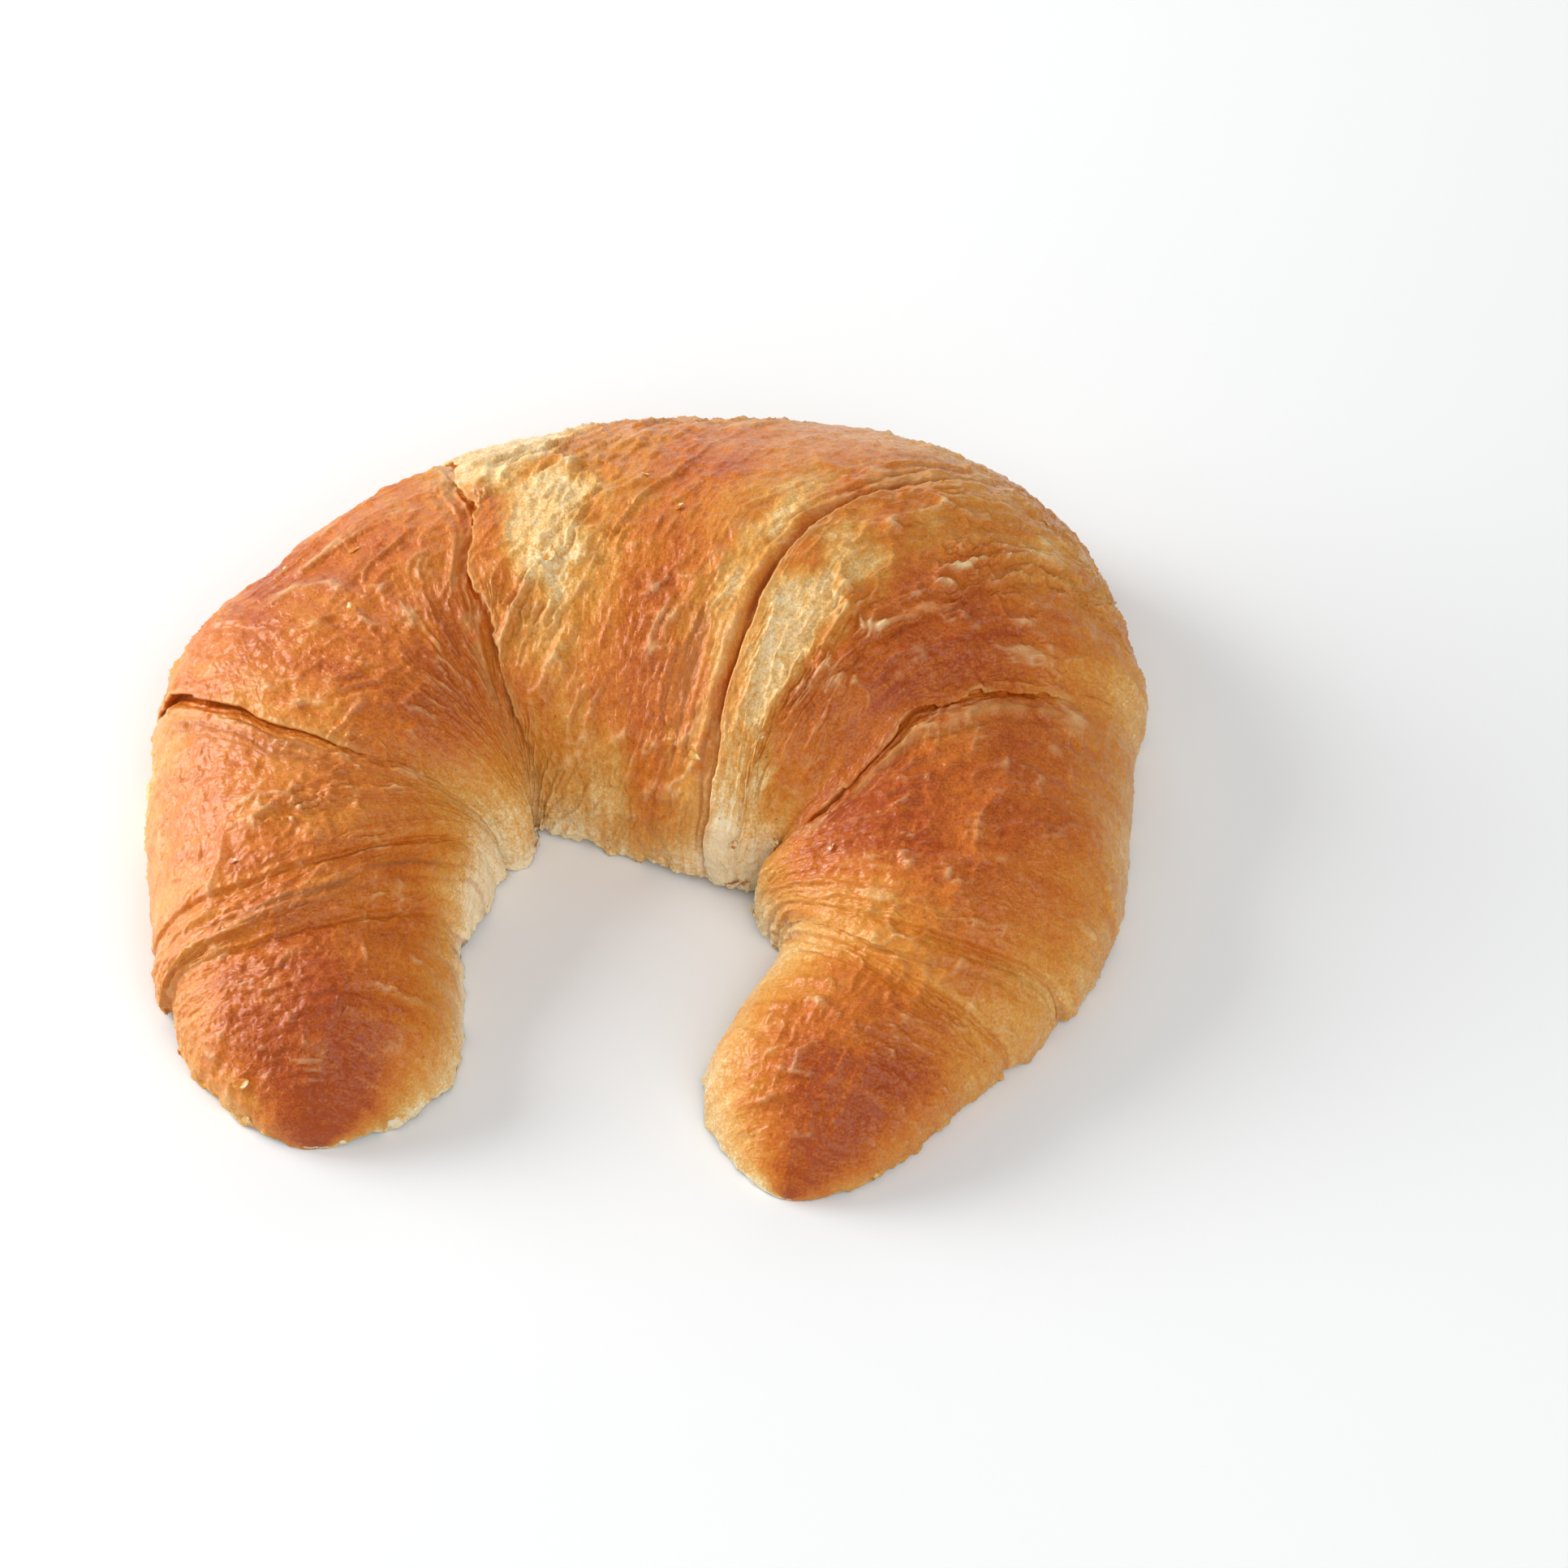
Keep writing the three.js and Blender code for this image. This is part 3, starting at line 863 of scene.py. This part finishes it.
def crust_material(look):
    """Laminated dough, egg washed and baked: a thin satin glaze over browned, flaky skin."""
    material, tree = new_material("baked_egg_washed_crust")
    reads = {
        name: add_node(tree, "ShaderNodeAttribute", {"attribute_name": name}).outputs["Fac"]
        for name in ("brown", "shade", "rim", "sharp", "slits")
    }
    grain = add_node(tree, "ShaderNodeAttribute", {"attribute_name": "grain"}).outputs["Vector"]
    place = add_node(tree, "ShaderNodeTexCoord").outputs["Object"]
    mix, math_node, noise_node = "ShaderNodeMix", "ShaderNodeMath", "ShaderNodeTexNoise"
    colours, scale_and_add = {"data_type": "RGBA"}, {"operation": "MULTIPLY_ADD"}
    stretched = add_node(tree, "ShaderNodeMapping", Vector=grain, Scale=FIBRE_STRETCH).outputs[0]
    fibre = add_node(
        tree, noise_node, Vector=stretched, Scale=FIBRE_SCALE, Detail=4.0, Roughness=0.6
    )
    mottle = add_node(
        tree, noise_node, Vector=place, Scale=MOTTLE_SCALE, Detail=6.0, Roughness=0.7
    )
    grains = add_node(tree, noise_node, Vector=place, Scale=GRAIN_SCALE, Detail=2.0, Roughness=0.5)
    # each pattern darkens or lightens the browning, about evenly
    tone = reads["brown"]
    patterns = (fibre, 0.22, -0.11), (mottle, 0.5, -0.25), (grains, -0.55, 0.27)
    for pattern, amount, offset in patterns:
        part = add_node(tree, math_node, scale_and_add, i0=pattern.outputs[0], i1=amount, i2=offset)
        tone = add_node(tree, math_node, i0=tone, i1=part.outputs[0]).outputs[0]
    ramp = add_node(tree, "ShaderNodeValToRGB", Fac=tone)
    set_ramp(ramp, BROWNING)
    rim_share = add_node(tree, math_node, {"operation": "MULTIPLY"}, i0=reads["rim"], i1=0.55)
    # how much painted shade the grooves and a lip's curled underside take
    groove_shade_share = add_node(
        tree, math_node, {"operation": "MULTIPLY", "use_clamp": True}, i0=reads["shade"], i1=0.75
    )
    specks = add_node(tree, "ShaderNodeTexVoronoi", Vector=place, Scale=SPECK_SCALE)
    speck_share = add_node(
        tree, "ShaderNodeMapRange", Value=specks.outputs["Distance"],
        i1=0.03, i2=0.07, i3=0.6, i4=0.0,
    )
    colour = ramp.outputs[0]
    # over the browning: pale wrinkle crests that are partly a painted highlight, the lip rims,
    # painted shade in grooves and slits, and seared specks
    for share, over in (
        (reads["sharp"], look.ridge_and_highlight_hex),
        (rim_share.outputs[0], RIM_HEX),
        (groove_shade_share.outputs[0], GROOVE_SHADE_HEX),
        (reads["slits"], SLIT_SHADE_HEX),
        (speck_share.outputs[0], SPECK_HEX),
    ):
        colour = add_node(tree, mix, colours, i0=share, i6=colour, i7=linear(over)).outputs[2]
    fine = add_node(tree, noise_node, Vector=place, Scale=SKIN_SCALE, Detail=5.0, Roughness=0.7)
    skin = add_node(tree, "ShaderNodeBump", Strength=0.5, Distance=0.0006, Height=fine.outputs[0])
    lines = add_node(
        tree, "ShaderNodeBump",
        Strength=0.3, Distance=0.0005, Height=fibre.outputs[0], Normal=skin.outputs[0],
    )
    puckered = add_node(tree, "ShaderNodeMapping", Vector=grain, Scale=CREASE_STRETCH).outputs[0]
    creases = add_node(
        tree, noise_node, {"noise_type": "RIDGED_MULTIFRACTAL"},
        Vector=puckered, Scale=CREASE_SCALE, Detail=4.0, Roughness=0.55,
        Offset=0.9, Gain=1.6, Distortion=0.6,
    )
    crackle = add_node(
        tree, "ShaderNodeBump",
        Strength=0.22, Distance=0.00022, Height=creases.outputs[0], Normal=lines.outputs[0],
    )
    glazed = add_node(
        tree, "ShaderNodeBump", Strength=0.3, Distance=0.0003, Height=creases.outputs[0]
    )
    gloss = add_node(
        tree, "ShaderNodeMapRange", Value=mottle.outputs[0],
        i1=0.3, i2=0.7, i3=look.gloss_roughness - 0.08, i4=look.gloss_roughness + 0.1,
    )
    surface = add_node(
        tree, "ShaderNodeBsdfPrincipled",
        Base_Color=colour, Roughness=gloss.outputs[0], IOR=1.45, Normal=crackle.outputs[0],
        Subsurface_Weight=0.12, Subsurface_Radius=(1.0, 0.35, 0.08), Subsurface_Scale=0.0015,
        Specular_IOR_Level=0.42, Specular_Tint=linear(GLAZE_TINT_HEX),
        Coat_Weight=0.45, Coat_Roughness=0.22, Coat_Normal=glazed.outputs[0],
    )
    add_node(tree, "ShaderNodeOutputMaterial", Surface=surface.outputs[0])
    return material


def crumb_material(look):
    """Open wheat crumb, torn by a knife: matte, pale and slightly see-through at thin walls."""
    material, tree = new_material("open_wheat_crumb")
    pit = add_node(tree, "ShaderNodeAttribute", {"attribute_name": "pit"}).outputs["Fac"]
    place = add_node(tree, "ShaderNodeTexCoord").outputs["Object"]
    grit = add_node(
        tree, "ShaderNodeTexNoise", Vector=place, Scale=MOTTLE_SCALE, Detail=4.0, Roughness=0.6
    )
    # grit mottles the crumb; the pit depth adds painted shade, darker and yellower in deeper pits
    tone = add_node(
        tree, "ShaderNodeMath", {"operation": "MULTIPLY_ADD"}, i0=grit.outputs[0], i1=0.5, i2=pit
    )
    ramp = add_node(tree, "ShaderNodeValToRGB", Fac=tone.outputs[0])
    set_ramp(ramp, ((0.0, look.crumb_hex), (0.5, GRIT_AND_PIT_SHADE_HEX), (1.0, DEEP_PIT_SHADE_HEX)))
    bumps = add_node(tree, "ShaderNodeBump", Strength=0.5, Distance=0.0006, Height=grit.outputs[0])
    surface = add_node(
        tree, "ShaderNodeBsdfPrincipled",
        Base_Color=ramp.outputs[0], Roughness=0.85, IOR=1.4, Normal=bumps.outputs[0],
        Subsurface_Weight=0.25, Subsurface_Radius=(1.0, 0.8, 0.5), Subsurface_Scale=0.002,
    )
    add_node(tree, "ShaderNodeOutputMaterial", Surface=surface.outputs[0])
    return material


def stage_material():
    """Satin white laminate, wiped clean: pale and faintly glossy."""
    material, tree = new_material("white_laminate")
    surface = add_node(
        tree, "ShaderNodeBsdfPrincipled", Base_Color=linear(FLOOR_HEX), Roughness=0.25, IOR=1.45
    )
    add_node(tree, "ShaderNodeOutputMaterial", Surface=surface.outputs[0])
    return material


# -------------------------------- settings
class CroissantLook(bpy.types.PropertyGroup):
    """Sizes and colours of the croissant that a user may change."""

    # the pale colour of wrinkle crests: dry skin, and partly a painted highlight
    ridge_and_highlight_hex: bpy.props.StringProperty(
        name="Ridge colour", description="Dry ridges of puckered skin, sRGB hex", default="#F0D29A"
    )
    crumb_hex: bpy.props.StringProperty(
        name="Crumb colour", description="The open crumb, sRGB hex", default="#F6F1E2"
    )
    gloss_roughness: bpy.props.FloatProperty(
        name="Glaze roughness", description="Roughness of the egg wash",
        default=0.35, min=0.1, max=0.9, subtype="FACTOR",
    )


class CroissantStage(bpy.types.PropertyGroup):
    """Sizes of the stage that a user may change."""

    camera_distance: bpy.props.FloatProperty(
        name="Camera distance", description="From the middle of the view",
        default=0.54, unit="LENGTH", subtype="DISTANCE",
    )
    camera_tilt: bpy.props.FloatProperty(
        name="Camera height angle", description="Angle above the cut face",
        default=math.radians(50), subtype="ANGLE", unit="ROTATION",
    )
    field_of_view: bpy.props.FloatProperty(
        name="Field of view", description="Across the square frame",
        default=math.radians(21.5), subtype="ANGLE", unit="ROTATION",
    )


# -------------------------------- operators
FLOOR_REACH = 6  # metres from the middle to each side
# The soft lights, all aimed at the roll: name, place and side in metres, and power in watts.
LAMPS = (
    ("left_softbox", (-0.6, 0.28, 0.32), 0.35, 4.6),
    ("low_left_softbox", (-0.85, 0.05, 0.15), 0.35, 3.7),
    ("back_softbox", (0.05, 0.8, 0.22), 0.7, 1.9),
    ("front_fill", (0.3, -0.55, 0.6), 0.8, 4.4),
)
TENT_LIGHT = 0.32  # strength of the even white light from all round
NEAREST_SEEN = 0.01  # metres from the camera


class CROISSANT_OT_crust(bpy.types.Operator):
    """Make the browned turns of dough with their lips and wrinkles, and the flakes on them"""

    bl_idname = "croissant.crust"
    bl_label = "Crust"

    def execute(self, context):
        material = crust_material(context.scene.croissant_look)
        make_flakes([make_turn(*turn, material) for turn in TURNS], material)
        return {"FINISHED"}


class CROISSANT_OT_crumb(bpy.types.Operator):
    """Make the open crumb on the cut face"""

    bl_idname = "croissant.crumb"
    bl_label = "Crumb"

    def execute(self, context):
        make_crumb(*CRUMB_GRID, crumb_material(context.scene.croissant_look))
        return {"FINISHED"}


class CROISSANT_OT_stage(bpy.types.Operator):
    """Make the pale floor, the soft lights and the camera"""

    bl_idname = "croissant.stage"
    bl_label = "Stage"

    def execute(self, context):
        scene = context.scene
        view = scene.croissant_stage
        shape = bmesh.new()
        bmesh.ops.create_grid(shape, x_segments=1, y_segments=1, size=FLOOR_REACH)
        mesh = bpy.data.meshes.new("floor")
        shape.to_mesh(mesh)
        shape.free()
        mesh.materials.append(stage_material())
        floor = bpy.data.objects.new("floor", mesh)
        scene.collection.objects.link(floor)
        aim = Vector(SHIFT * MM)
        for name, place, size, power in LAMPS:
            lamp = bpy.data.lights.new(name, "AREA")
            lamp.shape = "SQUARE"
            lamp.size = size
            lamp.energy = power
            lit = bpy.data.objects.new(name, lamp)
            lit.location = place
            lit.rotation_euler = (aim - Vector(place)).to_track_quat("-Z", "Y").to_euler()
            scene.collection.objects.link(lit)
        world = bpy.data.worlds.new("white_tent")
        world.use_nodes = True
        tent = world.node_tree.nodes["Background"].inputs
        tent["Color"].default_value = linear(TENT_HEX)
        tent["Strength"].default_value = TENT_LIGHT
        scene.world = world
        lens = bpy.data.cameras.new("camera")
        lens.sensor_fit = "HORIZONTAL"
        lens.angle = view.field_of_view
        lens.clip_start = NEAREST_SEEN
        camera = bpy.data.objects.new("camera", lens)
        tilt = view.camera_tilt
        outward = Vector((0, -math.cos(tilt), math.sin(tilt)))
        camera.location = aim + view.camera_distance * outward
        camera.rotation_euler = (math.pi / 2 - tilt, 0, 0)
        scene.collection.objects.link(camera)
        scene.camera = camera
        scene.view_settings.view_transform = "Standard"
        return {"FINISHED"}


class CROISSANT_PT_parts(bpy.types.Panel):
    """Shows the operators and the settings in the sidebar"""

    bl_idname = "CROISSANT_PT_parts"
    bl_label = "Croissant"
    bl_space_type = "VIEW_3D"
    bl_region_type = "UI"
    bl_category = "Croissant"

    def draw(self, context):
        column = self.layout.column()
        for operator in OPERATORS:
            column.operator(operator.bl_idname)
        for settings in (context.scene.croissant_look, context.scene.croissant_stage):
            for name in settings.__annotations__:
                column.prop(settings, name)


OPERATORS = (CROISSANT_OT_crust, CROISSANT_OT_crumb, CROISSANT_OT_stage)
CLASSES = (CroissantLook, CroissantStage) + OPERATORS + (CROISSANT_PT_parts,)


def register():
    """Makes the settings, operators and panel known."""
    for each in CLASSES:
        bpy.utils.register_class(each)
    bpy.types.Scene.croissant_look = bpy.props.PointerProperty(type=CroissantLook)
    bpy.types.Scene.croissant_stage = bpy.props.PointerProperty(type=CroissantStage)


def unregister():
    """Takes them away again."""
    del bpy.types.Scene.croissant_stage
    del bpy.types.Scene.croissant_look
    for each in reversed(CLASSES):
        bpy.utils.unregister_class(each)


def main():
    """Builds everything."""
    register()
    bpy.ops.croissant.crust()
    bpy.ops.croissant.crumb()
    bpy.ops.croissant.stage()


if __name__ == "__main__":
    main()
